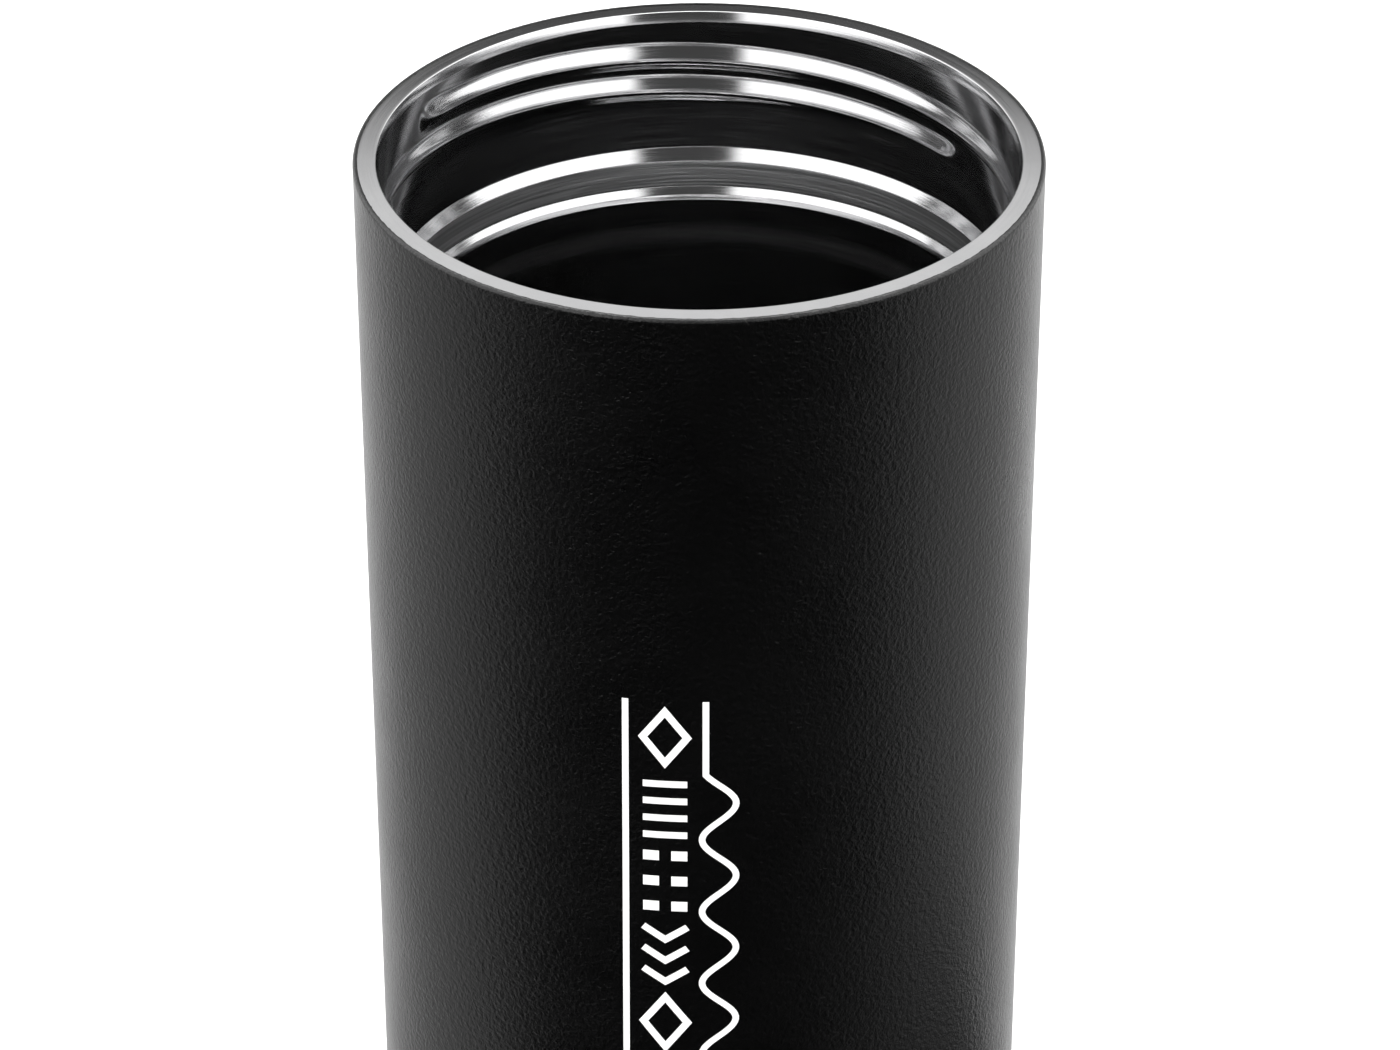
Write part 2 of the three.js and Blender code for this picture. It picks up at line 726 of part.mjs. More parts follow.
function valveDisc() {
  const slotInner = gasketRadius - gasketFoot / 2 - seatGap;
  const slotOuter = gasketRadius + gasketFoot / 2 + seatGap;
  const slotBottom = discRimTop - gasketFoot;
  const rimBottom = discRimTop - discRimThickness;
  const rise = slotInner - discRimThickness;
  return turned([
    [screwRadius + seatGap, webBottom],
    [rise - discRimThickness, webBottom],
    [rise, rimBottom],
    [discRadius - discRimThickness / 2, rimBottom],
    [discRadius, rimBottom + discRimThickness / 2],
    [discRadius, discRimTop],
    [slotOuter, discRimTop],
    [slotOuter, slotBottom],
    [slotInner, slotBottom],
    [slotInner, discRimTop],
    [rise, discRimTop],
    [rise - discRimThickness, webTop],
    [screwRadius + seatGap, webTop],
  ], mediumSegments);
}

/** T-section ring: its foot stands in the disc's slot and its rounded head meets the seat. */
function valveGasket() {
  const bottom = discRimTop + seatGap;
  const top = seatBottom - seatGap;
  const half = gasketWidth / 2;
  const bevel = gasketHeight / 3;
  return turned([
    [gasketRadius - gasketFoot / 2, bottom - gasketFoot],
    [gasketRadius + gasketFoot / 2, bottom - gasketFoot],
    [gasketRadius + gasketFoot / 2, bottom],
    [gasketRadius + half, bottom],
    [gasketRadius + half, top - bevel],
    [gasketRadius + half - bevel, top],
    [gasketRadius - half + bevel, top],
    [gasketRadius - half, top - bevel],
    [gasketRadius - half, bottom],
    [gasketRadius - gasketFoot / 2, bottom],
  ], mediumSegments);
}

piece(lid, 'button_cap', buttonCap(), polypropylene);
piece(lid, 'click_rotor', clickRotor(), acetal);
piece(lid, 'valve_stem', valveStem(), springSteel);
piece(lid, 'valve_disc', valveDisc(), polypropylene);
piece(lid, 'valve_gasket', valveGasket(), silicone);
piece(lid, 'stem_screw', screw(stemHeadBottom, webTop + stemThreadDepth), springSteel);

export default model;
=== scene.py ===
"""A black double-wall tumbler with its push-button screw lid beside it, in a plain white studio.

Outlines are (radius, height) or (radius, height, fillet radius) in millimetres, counter-clockwise.
Heights on the lid are measured from the tumbler's rim with the lid screwed home.
"""

import math

import bpy
from mathutils import Matrix, Vector, noise


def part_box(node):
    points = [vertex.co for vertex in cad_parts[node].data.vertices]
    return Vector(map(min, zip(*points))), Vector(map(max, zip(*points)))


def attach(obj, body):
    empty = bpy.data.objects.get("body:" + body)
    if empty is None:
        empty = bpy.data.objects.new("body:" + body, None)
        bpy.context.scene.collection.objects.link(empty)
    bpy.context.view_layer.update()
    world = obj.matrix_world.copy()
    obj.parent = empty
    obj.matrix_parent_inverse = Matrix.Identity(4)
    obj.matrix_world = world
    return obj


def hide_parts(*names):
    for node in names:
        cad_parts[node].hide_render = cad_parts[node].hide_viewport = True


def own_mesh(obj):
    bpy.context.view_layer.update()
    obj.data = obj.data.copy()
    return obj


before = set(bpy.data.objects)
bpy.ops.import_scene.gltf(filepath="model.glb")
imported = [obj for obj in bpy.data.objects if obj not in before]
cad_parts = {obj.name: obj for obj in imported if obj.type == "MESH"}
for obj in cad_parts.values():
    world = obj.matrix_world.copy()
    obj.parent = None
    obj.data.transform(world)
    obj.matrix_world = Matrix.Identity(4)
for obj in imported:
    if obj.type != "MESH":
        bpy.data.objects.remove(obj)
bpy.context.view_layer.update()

MM = 0.001
MAP_SOCKETS = ("From Min", "From Max", "To Min", "To Max")

# ---- Places from the frame, in millimetres ----
rim_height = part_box("inner_liner")[1].z / MM
rim_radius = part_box("outer_shell")[1].x / MM
foot_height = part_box("outer_shell")[0].z / MM
pad_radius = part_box("foot_pad")[1].x / MM
pad_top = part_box("foot_pad")[1].z / MM
lid_low, lid_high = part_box("lid_collar")
lid_x = (lid_low.x + lid_high.x) / 2 / MM
flange_radius = (lid_high.x - lid_low.x) / 2 / MM
lip_height = 14
lid_base = lid_high.z / MM - lip_height  # height of the lid's zero above the table

# ---- Sizes of the tumbler ----
shell_taper = 0.0166
shell_wall = 0.6
coat_round = 0.45
foot_round = 3
foot_land = 3.4
liner_wall = 0.5
rim_flange = 0.8
rim_land = 2
rim_lead = 0.3
rim_lead_depth = 1.1
land_fall = 0.11  # the land's outer edge lies this far under its crown
wall_depth = 10.9
wall_step = 0.25  # radius lost over the threaded wall
neck_height = 5
neck_step = 0.6
shoulder_height = 1.25
shoulder_step = 0.8
band_height = 3.05
band_step = 0.15
band_foot_height = 0.7
band_foot_step = 0.55
vessel_round = 0.6
vessel_step = 0.2
vessel_taper = 0.0133
vessel_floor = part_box("inner_liner")[0].z / MM + liner_wall
vessel_foot_round = 8

# ---- Sizes of the thread. Its angles are in degrees, clockwise from the back. ----
thread_lead = 7.5
thread_starts = 2
ridge_depth = 0.62
ridge_height = 2.8
ridge_top = 3.85  # from the rim down to a ridge's upper edge, at the back
ridge_start = -63
ridge_sweep = 301
ridge_fade = 0.024  # share of the sweep in which an end runs out
crest_from = 0.57  # share of the ridge's height, from its upper edge
crest_to = 0.72

# ---- Places that follow ----
mouth_radius = rim_radius - coat_round - rim_land - rim_lead
wall_bottom = rim_height - wall_depth
neck_radius = mouth_radius - wall_step
shoulder_radius = neck_radius - neck_step
shoulder_top = wall_bottom - neck_height
band_radius = shoulder_radius - shoulder_step
band_top = shoulder_top - shoulder_height
band_foot_radius = band_radius - band_step
band_foot = band_top - band_height
throat_radius = band_foot_radius - band_foot_step
throat = band_foot - band_foot_height
vessel_radius = throat_radius - vessel_step
vessel_top = throat - vessel_round


def shell_radius(height):
    return rim_radius - shell_taper * (rim_height - height)


def vessel_radius_at(height):
    return vessel_radius - vessel_taper * (vessel_top - height)


# ---- Mesh helpers ----


def arc(radius, height, size, start, end, steps=8):
    """Points of an arc in the outline plane, from one angle to another in degrees."""
    angles = [math.radians(start + (end - start) * i / steps) for i in range(steps + 1)]
    return [(radius + size * math.cos(a), height + size * math.sin(a)) for a in angles]


def filleted(outline, closed=True, step=12):
    """The outline with an arc at each corner that names a fillet radius."""
    points = []
    for i, corner in enumerate(outline):
        at = Vector(corner[:2])
        inner = closed or 0 < i < len(outline) - 1
        if len(corner) < 3 or not inner:
            points.append(at)
            continue
        before = Vector(outline[i - 1][:2]) - at
        after = Vector(outline[(i + 1) % len(outline)][:2]) - at
        half = before.angle(after) / 2
        turn = math.pi - 2 * half
        size = min(corner[2], 0.48 * math.tan(half) * min(before.length, after.length))
        middle = (before.normalized() + after.normalized()).normalized() * size / math.sin(half)
        first = before.normalized() * size / math.tan(half) - middle
        sign = 1 if before.cross(after) < 0 else -1
        count = max(2, math.ceil(math.degrees(turn) / step))
        for k in range(count + 1):
            swung = first.copy()
            swung.rotate(Matrix.Rotation(sign * turn * k / count, 2))
            points.append(at + middle + swung)
    return [(p.x, p.y) for p in points]


def stretched(start, end, spacing):
    """Points of a straight stretch, both ends included."""
    count = max(1, round((Vector(end) - Vector(start)).length / spacing))
    return [tuple(Vector(start).lerp(Vector(end), i / count)) for i in range(count + 1)]


def mesh_object(name, vertices, faces, smooth_angle=35):
    mesh = bpy.data.meshes.new(name)
    mesh.from_pydata([Vector(v) * MM for v in vertices], [], faces)
    mesh.validate()
    mesh.shade_smooth()
    mesh.set_sharp_from_angle(angle=math.radians(smooth_angle))
    made = bpy.data.objects.new(name, mesh)
    bpy.context.scene.collection.objects.link(made)
    return made


def turned(name, outline, segments, shaped=None):
    """A solid of revolution about +Z. shaped(radius, height, degrees) may move a point's radius and
    height; degrees run clockwise, seen from above, from the back."""
    vertices, rows = [], []
    for radius, height in outline:
        if radius < 1e-6:
            rows.append([len(vertices)] * segments)
            vertices.append((0, 0, height))
            continue
        rows.append(range(len(vertices), len(vertices) + segments))
        for i in range(segments):
            degrees = 360 * i / segments
            r, z = shaped(radius, height, degrees) if shaped else (radius, height)
            angle = math.radians(degrees)
            vertices.append((r * math.sin(angle), r * math.cos(angle), z))
    pairs = list(zip(rows, rows[1:]))
    if outline[0][0] > 1e-6:
        pairs.append((rows[-1], rows[0]))
    faces = []
    for low, high in pairs:
        for i in range(segments):
            j = (i + 1) % segments
            corners = [low[j], low[i], high[i], high[j]]
            face = [c for k, c in enumerate(corners) if c != corners[k - 1]]
            if len(face) > 2:
                faces.append(face)
    return mesh_object(name, vertices, faces)


def joined(name, objects):
    """One object from several, each a closed body."""
    with bpy.context.temp_override(
        active_object=objects[0], object=objects[0], selected_editable_objects=objects
    ):
        bpy.ops.object.join()
    objects[0].name = name
    return objects[0]


def shifted(made, x, y, z):
    """Moves a mesh inside its object."""
    made.data.transform(Matrix.Translation(Vector((x, y, z)) * MM))
    return made


def in_lid(made):
    """Puts a piece that was made round +Z on the lid's own axis and height."""
    made.location = Vector((lid_x, 0, lid_base)) * MM
    return made


def placed(made, body, slot, finish, *nodes):
    """Gives a piece its finish and body, and hides the CAD nodes it stands for."""
    made.data.materials.clear()
    made.data.materials.append(finish)
    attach(made, body)
    if nodes:
        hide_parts(*nodes)
    return made


# ---- Material helpers ----


class Nodes:
    """Adds nodes to a tree. What feeds a socket is a constant or another node's output."""

    def __init__(self, tree):
        self.tree = tree

    def node(self, kind, **settings):
        made = self.tree.nodes.new(kind)
        for name, value in settings.items():
            setattr(made, name, value)
        return made

    def link(self, source, target):
        self.tree.links.new(source, target)

    def feed(self, value, socket):
        if isinstance(value, tuple):
            socket.default_value = (*value, 1)
        elif isinstance(value, (int, float)):
            socket.default_value = value
        else:
            self.link(value, socket)

    def math(self, operation, a, b=0.0):
        made = self.node("ShaderNodeMath", operation=operation)
        self.feed(a, made.inputs[0])
        self.feed(b, made.inputs[1])
        return made.outputs[0]

    def span(self, value, low, high, to_low, to_high, smooth=False):
        """Maps low to high onto to_low to to_high, and stays inside them."""
        kind = "SMOOTHSTEP" if smooth else "LINEAR"
        made = self.node("ShaderNodeMapRange", interpolation_type=kind)
        self.link(value, made.inputs["Value"])
        for socket, number in zip(MAP_SOCKETS, (low, high, to_low, to_high)):
            made.inputs[socket].default_value = number
        return made.outputs[0]

    def mix(self, factor, first, second):
        """A colour between two colours."""
        made = self.node("ShaderNodeMix", data_type="RGBA")
        self.link(factor, made.inputs["Factor"])
        self.feed(first, made.inputs[6])
        self.feed(second, made.inputs[7])
        return made.outputs[2]

    def blend(self, factor, first, second):
        """A number between two numbers."""
        made = self.node("ShaderNodeMix", data_type="FLOAT")
        self.link(factor, made.inputs[0])
        self.feed(first, made.inputs[2])
        self.feed(second, made.inputs[3])
        return made.outputs[0]


class Finish(Nodes):
    """A procedural material round one Principled shader, in the piece's own millimetres."""

    def __init__(self, name, **sockets):
        self.material = bpy.data.materials.new(name)
        self.material.use_nodes = True
        super().__init__(self.material.node_tree)
        self.shader = self.tree.nodes["Principled BSDF"]
        for socket, value in sockets.items():
            self.shader.inputs[socket.replace("_", " ")].default_value = value
        self.place = self.node("ShaderNodeVectorMath", operation="SCALE")
        self.link(self.node("ShaderNodeTexCoord").outputs["Object"], self.place.inputs[0])
        self.place.inputs["Scale"].default_value = 1 / MM
        self.normal = None

    def polar(self, around_scale):
        """A vector for marks that run round the axis, and the height. It changes slowly with the
        direction from the axis, which has no seam, and quickly with radius and height."""
        split = self.node("ShaderNodeSeparateXYZ")
        self.link(self.place.outputs[0], split.inputs[0])
        x, y, z = split.outputs
        squares = self.math("ADD", self.math("MULTIPLY", x, x), self.math("MULTIPLY", y, y))
        radius = self.math("SQRT", squares)
        merged = self.node("ShaderNodeCombineXYZ")
        for side, socket in ((x, merged.inputs[0]), (y, merged.inputs[1])):
            direction = self.math("DIVIDE", side, radius)
            self.link(self.math("MULTIPLY", direction, around_scale), socket)
        self.link(self.math("ADD", radius, z), merged.inputs[2])
        return merged.outputs[0], z

    def noise(self, scale, detail=2, roughness=0.5, vector=None):
        """Noise with features about 1 / scale millimetres wide."""
        made = self.node("ShaderNodeTexNoise")
        made.inputs["Scale"].default_value = scale
        made.inputs["Detail"].default_value = detail
        made.inputs["Roughness"].default_value = roughness
        self.link(vector or self.place.outputs[0], made.inputs["Vector"])
        return made.outputs["Fac"]

    def colour(self, source):
        self.link(source, self.shader.inputs["Base Color"])

    def roughness(self, source):
        self.link(source, self.shader.inputs["Roughness"])

    def bump(self, height, depth):
        """Adds a relief of this depth in millimetres over what is there."""
        made = self.node("ShaderNodeBump")
        made.inputs["Strength"].default_value = 1.0
        made.inputs["Distance"].default_value = depth * MM
        self.link(height, made.inputs["Height"])
        if self.normal:
            self.link(self.normal, made.inputs["Normal"])
        self.normal = made.outputs[0]
        self.link(self.normal, self.shader.inputs["Normal"])


def powder_coat():
    """Black fine-texture powder: soft pebbles with a finer grain, and rubbed patches."""
    f = Finish("powder_coat", Roughness=0.5, Specular_IOR_Level=0.5)
    pebbles = f.noise(1.9, detail=3, roughness=0.6)
    grain = f.noise(6.0, detail=2)
    wear = f.noise(0.05, detail=4, roughness=0.65)
    f.bump(pebbles, 0.13)
    f.bump(grain, 0.015)
    f.colour(f.mix(pebbles, (0.0006, 0.0006, 0.0007), (0.0014, 0.0014, 0.0015)))
    f.roughness(f.span(wear, 0.35, 0.65, 0.27, 0.33))
    return f.material


def turned_steel():
    """Bare steel with turning lines round the axis, faint smears, a duller sealing band with bright
    marks, and a slightly hazed ring in the vessel."""
    f = Finish("liner_steel", Metallic=1.0, Roughness=0.2, Anisotropic=0.35)
    haze_top = rim_height - 23.8
    haze_bottom = rim_height - 27.6
    ring, height = f.polar(around_scale=0.6)
    above_foot = f.span(height, band_foot - 0.1, band_foot + 0.2, 0, 1, smooth=True)
    below_top = f.span(height, band_top - 0.2, band_top + 0.1, 1, 0, smooth=True)
    band = f.math("MULTIPLY", above_foot, below_top)
    haze_low = f.span(height, haze_bottom, haze_bottom + 2, 0, 1, smooth=True)
    haze_high = f.span(height, haze_top - 1.6, haze_top, 1, 0, smooth=True)
    haze = f.math("MULTIPLY", haze_low, haze_high)
    fine = f.noise(5.0, detail=3, roughness=0.7, vector=ring)
    broad = f.noise(0.9, detail=2, vector=ring)
    rings = f.noise(2.4, detail=2, vector=ring)
    smear = f.noise(0.12, detail=4, roughness=0.6)
    tangent = f.node("ShaderNodeTangent", direction_type="RADIAL", axis="Z")
    f.link(tangent.outputs[0], f.shader.inputs["Tangent"])
    f.bump(fine, 0.003)
    f.bump(broad, 0.006)
    f.bump(f.math("MULTIPLY", rings, band), 0.04)
    plain = f.mix(smear, (0.5, 0.5, 0.505), (0.64, 0.64, 0.645))
    marks = f.math("MULTIPLY", f.span(rings, 0.42, 0.58, 0, 1), band)
    f.colour(f.mix(marks, plain, (0.85, 0.85, 0.855)))
    lines = f.span(fine, 0.3, 0.7, 0.07, 0.15)
    dulled = f.math("ADD", lines, f.math("MULTIPLY", band, 0.24))
    f.roughness(f.math("ADD", dulled, f.math("MULTIPLY", haze, 0.1)))
    return f.material


def drawn_steel():
    """Wire and sheet steel with faint drawing marks."""
    f = Finish("spring_steel", Metallic=1.0, Roughness=0.25)
    marks = f.noise(3.0, detail=4, roughness=0.7)
    f.bump(marks, 0.004)
    f.colour(f.mix(marks, (0.5, 0.5, 0.51), (0.68, 0.68, 0.69)))
    f.roughness(f.span(marks, 0.3, 0.7, 0.2, 0.36))
    return f.material


def moulded(name, dark, light, grain_scale, grain_depth, rough_low, rough_high):
    """Moulded plastic or rubber: an even grain, slow gloss changes and slight mottling."""
    f = Finish(name, Specular_IOR_Level=0.5)
    grain = f.noise(grain_scale, detail=3, roughness=0.6)
    slow = f.noise(0.09, detail=4, roughness=0.6)
    f.bump(grain, grain_depth)
    f.colour(f.mix(slow, dark, light))
    f.roughness(f.span(slow, 0.3, 0.7, rough_low, rough_high))
    return f.material


def print_ink():
    """Slightly speckled white ink."""
    f = Finish("white_print", Roughness=0.45)
    speckle = f.noise(5.0, detail=3, roughness=0.7)
    f.colour(f.mix(speckle, (0.84, 0.84, 0.83), (0.95, 0.95, 0.945)))
    f.bump(speckle, 0.006)
    f.roughness(f.span(speckle, 0.3, 0.7, 0.38, 0.55))
    return f.material


coat = powder_coat()
steel = turned_steel()
bright_steel = drawn_steel()
black_plastic = moulded("black_plastic", dark=(0.008, 0.008, 0.0085), light=(0.014, 0.014, 0.0145),
                        grain_scale=4.0, grain_depth=0.012, rough_low=0.38, rough_high=0.5)
acetal = moulded("white_acetal", dark=(0.68, 0.68, 0.65), light=(0.78, 0.78, 0.75),
                 grain_scale=2.5, grain_depth=0.006, rough_low=0.35, rough_high=0.5)
rubber = moulded("silicone", dark=(0.025, 0.025, 0.027), light=(0.045, 0.045, 0.048),
                 grain_scale=6.0, grain_depth=0.006, rough_low=0.55, rough_high=0.72)
getter = moulded("getter_alloy", dark=(0.14, 0.13, 0.12), light=(0.24, 0.23, 0.22),
                 grain_scale=3.0, grain_depth=0.03, rough_low=0.7, rough_high=0.9)
glass = moulded("solder_glass", dark=(0.1, 0.11, 0.13), light=(0.16, 0.18, 0.2),
                grain_scale=1.0, grain_depth=0.01, rough_low=0.08, rough_high=0.2)
ink = print_ink()

# ---- Tumbler ----


def shell():
    """The coated outer shell, whose coat ends raggedly on top of the bare rim."""
    foot_centre = foot_height + foot_round
    foot_radius = shell_radius(foot_centre) - foot_round
    land_radius = foot_radius - foot_land
    edge = rim_radius - coat_round
    coat_end = rim_height - rim_flange - 0.1  # just under the liner's flange
    wall_low = foot_centre + 1
    wall_high = rim_height - 1
    wall_rows = 3
    ragged_width = 0.6 * coat_round
    outline = [
        (land_radius, foot_height),
        *arc(foot_radius, foot_centre, foot_round, -90, 0, 16),
        *stretched((shell_radius(wall_low), wall_low), (shell_radius(wall_high), wall_high), wall_rows),
        *arc(edge, rim_height - coat_round, coat_round, 0, 84, 9),
        (edge - 0.02, rim_height - 0.02),
        (edge - 0.05, rim_height - land_fall - 0.03),
        (edge - 0.06, coat_end),
        (shell_radius(coat_end) - shell_wall, coat_end),
        *arc(foot_radius, foot_centre, foot_round - shell_wall, 0, -90, 8),
        (land_radius, foot_height + shell_wall),
    ]

    def ragged(radius, height, degrees):
        inner = 1 - min(1, max(0, (radius - edge) / ragged_width))
        if height < rim_height - 2 * land_fall or inner <= 0:
            return radius, height
        angle = math.radians(degrees)
        at = Vector((math.sin(angle), math.cos(angle), 0))
        coarse = 0.1 * noise.noise(at * 45)
        fine = 0.06 * noise.noise(at * 170)
        return radius + (coarse + fine) * inner, height

    made = turned("tumbler_shell", outline, 720, ragged)
    return placed(made, "tumbler", "powder_coat", coat, "outer_shell")


def smooth_least(a, b, blend):
    """The lesser of two values, with a rounded change from one to the other."""
    share = max(blend - abs(a - b), 0) / blend
    return min(a, b) - share * share * blend / 4


def ridge_share(share, rise, fall):
    """A rolled ridge's section: 0 at its edges, 1 at its crest, with rounded corners."""
    crest = smooth_least(smooth_least(share / rise, (1 - share) / fall, 0.5), 1.0, 0.35)
    return -smooth_least(-crest, 0, 0.25) if crest > -0.3 else 0


def ridges_at(degrees, depth, first_top, height, start, sweep, rise, fall):
    """How much of its full depth a ridge has at a place on the wall, from 0 to 1. rise and fall are
    the shares of its height over which it comes up to its crest and goes down again."""
    most = 0
    for k in range(thread_starts):
        turn = (degrees - 360 * k / thread_starts - start) % 360
        while turn <= sweep:
            top = first_top + thread_lead * (start + turn) / 360
            share = (depth - top) / height
            if -0.2 < share < 1.2:
                along = turn / sweep
                end = min(1, along / ridge_fade, (1 - along) / ridge_fade)
                faded = end * end * (3 - 2 * end)
                most = max(most, ridge_share(share, rise, fall) * faded)
            turn += 360
    return most


def liner():
    """The steel liner: bare rim, rolled thread, shoulder, sealing band and vessel."""
    foot_centre = vessel_floor + vessel_foot_round
    foot_corner = vessel_radius_at(foot_centre) - vessel_foot_round
    flange = rim_radius - coat_round - 0.02
    lead_radius = mouth_radius + rim_lead
    crown = (lead_radius + 0.15, rim_height)
    neck_gap = 0.4  # kept straight above the neck's corner
    wall_start = (mouth_radius, rim_height - rim_lead_depth - 0.15)
    wall_end = (neck_radius + neck_gap * wall_step / wall_depth, wall_bottom + neck_gap)
    wall_rows = 0.1
    vessel_high = vessel_top - 4
    vessel_low = foot_centre + 1
    outline = [
        (0, vessel_floor - liner_wall),
        *arc(foot_corner, foot_centre, vessel_foot_round + liner_wall, -90, 0),
        (vessel_radius + liner_wall, vessel_top),
        (throat_radius + liner_wall, throat),
        (band_foot_radius + liner_wall, band_foot),
        (band_radius + liner_wall, band_top),
        (shoulder_radius + liner_wall, shoulder_top),
        (mouth_radius + liner_wall, wall_bottom),
        (mouth_radius + liner_wall, rim_height - rim_flange),
        (flange, rim_height - rim_flange),
        (flange, rim_height - land_fall - 0.06),
        (flange - 0.05, rim_height - land_fall),
        *stretched((flange - 0.15, rim_height - 0.9 * land_fall), crown, 0.2),
        *filleted([
            crown,
            (lead_radius, rim_height, 0.12),
            (mouth_radius, rim_height - rim_lead_depth, 0.25),
            wall_start,
        ], closed=False, step=10)[1:-1],
        *stretched(wall_start, wall_end, wall_rows),
        *filleted([
            wall_end,
            (neck_radius, wall_bottom, 1.5),
            (shoulder_radius, shoulder_top, 0.3),
            (band_radius, band_top, 0.3),
            (band_foot_radius, band_foot, 0.25),
            (throat_radius, throat, 0.3),
            (vessel_radius, vessel_top, 0.5),
            (vessel_radius_at(vessel_top - 2), vessel_top - 2),
        ], closed=False, step=8)[1:],
        *stretched((vessel_radius_at(vessel_high), vessel_high),
                   (vessel_radius_at(vessel_low), vessel_low), 4),
        *arc(foot_corner, foot_centre, vessel_foot_round, 0, -90, 20),
        (0, vessel_floor),
    ]

    def threaded(radius, height, degrees):
        if radius > mouth_radius + 1e-6 or not wall_end[1] <= height <= wall_start[1]:
            return radius, height
        share = ridges_at(
            degrees, rim_height - height, first_top=ridge_top, height=ridge_height, start=ridge_start,
            sweep=ridge_sweep, rise=crest_from, fall=1 - crest_to)
        return radius - ridge_depth * share, height

    made = turned("tumbler_liner", outline, 720, threaded)
    return placed(made, "tumbler", "liner_steel", steel, "inner_liner")


def foot_pad():
    """Silicone disc under the foot, slightly hollow in the middle."""
    chamfer = foot_height / 2
    hollow = 0.15
    outline = filleted([
        (0, hollow), (pad_radius * 0.45, hollow, 0.3), (pad_radius * 0.5, 0, 0.3),
        (pad_radius - chamfer, 0, 0.2), (pad_radius, chamfer, 0.2), (pad_radius, pad_top), (0, pad_top),
    ], closed=False)
    made = turned("tumbler_foot_pad", outline, 180)
    return placed(made, "tumbler", "silicone", rubber, "foot_pad")


shell()
liner()
foot_pad()

# ---- Print on the tumbler's front: two hairlines, a column of plain shapes and a running wave ----
print_top = 45.6  # below the rim
print_length = 89
print_lift = 0.035
print_sink = 0.02  # how far the ink reaches into the coat
line_width = 0.69
shape_width = 0.79
left_line = -7.8
column_middle = -3.6
column_half = 2.35
right_line = 0.7
wave_left = 0.3
wave_right = 3.9
wave_length = 9
wave_start = 9  # straight stretch of the right line before the wave
motif_length = 8.9
motif_margin = 1.3
dash_length = 1.7
chevron_drop = 1.6


def on_front(across, down, lift):
    """A point that far across and down the shell's front, measured on its surface."""
    height = rim_height - down
    radius = shell_radius(height)
    angle = across / radius
    return ((radius + lift) * math.sin(angle), -(radius + lift) * math.cos(angle), height)


def stroke(path, width, closed=False):
    """Corners and faces of a flat printed line along a path of (across, down) points."""
    points = [Vector(p) for p in path]
    count = len(points)
    vertices, faces = [], []
    for i, point in enumerate(points):
        before = points[i - 1] if closed or i else None
        after = points[(i + 1) % count] if closed or i < count - 1 else None
        ways = []
        if before:
            ways.append((point - before).normalized())
        if after:
            ways.append((after - point).normalized())
        normals = [Vector((-w.y, w.x)) for w in ways]
        mean = sum(normals, Vector((0, 0))).normalized()
        reach = width / 2 / max(0.5, mean.dot(normals[0]))
        for side in (1, -1):
            edge = point + mean * reach * side
            for lift in (print_lift, -print_sink):
                vertices.append(on_front(edge.x, edge.y, lift))
    spans = count if closed else count - 1
    for i in range(spans):
        a, b = 4 * i, 4 * ((i + 1) % count)
        for one, two in ((0, 2), (2, 3), (3, 1), (1, 0)):
            faces.append((a + one, b + one, b + two, a + two))
    if not closed:
        last = 4 * (count - 1)
        faces += [(0, 2, 3, 1), (last, last + 1, last + 3, last + 2)]
    return vertices, faces


def line_path(across, start, end):
    return stretched((across, start), (across, end), 1.0)


def printed(name, strokes):
    """One piece of ink from several strokes."""
    vertices, faces = [], []
    for corners, sides in strokes:
        first = len(vertices)
        vertices += corners
        faces += [tuple(first + c for c in side) for side in sides]
    made = mesh_object(name, vertices, faces, 60)
    return placed(made, "tumbler", "white_print", ink)


def shape_column():
    """Diamonds, bars, dashes and chevrons in turn, down the length of the print."""
    strokes = []
    left = column_middle - column_half
    right = column_middle + column_half
    half = motif_length / 2 - motif_margin
    for i in range(int(print_length // motif_length)):
        middle = print_top + motif_length * (i + 0.5)
        if i % 4 == 0:
            corners = [(left, middle), (column_middle, middle + half), (right, middle),
                       (column_middle, middle - half)]
            outline = []
            for start, end in zip(corners, corners[1:] + corners[:1]):
                outline += stretched(start, end, 0.6)[:-1]
            strokes.append(stroke(outline, shape_width, closed=True))
        elif i % 4 == 1:
            for k in range(4):
                down = middle + half * (2 * k / 3 - 1)
                strokes.append(stroke(stretched((left, down), (right, down), 0.8), shape_width))
        elif i % 4 == 2:
            for down in (middle - half, middle, middle + half):
                for start, end in ((left, left + dash_length), (right - dash_length, right)):
                    strokes.append(stroke([(start, down), (end, down)], 1.5 * shape_width))
        else:
            for down in (middle - half, middle - 0.5, middle + half - 1):
                tip = (column_middle, down + chevron_drop)
                first = stretched((left, down), tip, 0.6)
                second = stretched(tip, (right, down), 0.6)
                strokes.append(stroke(first + second[1:], shape_width))
    return printed("print_shapes", strokes)


def wave_line():
    """The right hairline, which turns into a wave down the rest of the print."""
    path = line_path(right_line, print_top, print_top + wave_start)
    wave_down = print_length - wave_start
    turns = wave_down / wave_length
    steps = int(turns * 30)
    middle = (wave_left + wave_right) / 2
    half = (wave_right - wave_left) / 2
    start = math.asin((right_line - middle) / half)
    for i in range(1, steps + 1):
        phase = start + 2 * math.pi * turns * i / steps
        across = middle + half * math.sin(phase)
        path.append((across, print_top + wave_start + wave_down * i / steps))
    return printed("print_wave", [stroke(path, line_width)])


left_path = line_path(left_line, print_top, print_top + print_length)
printed("print_hairline", [stroke(left_path, line_width)])
shape_column()
wave_line()

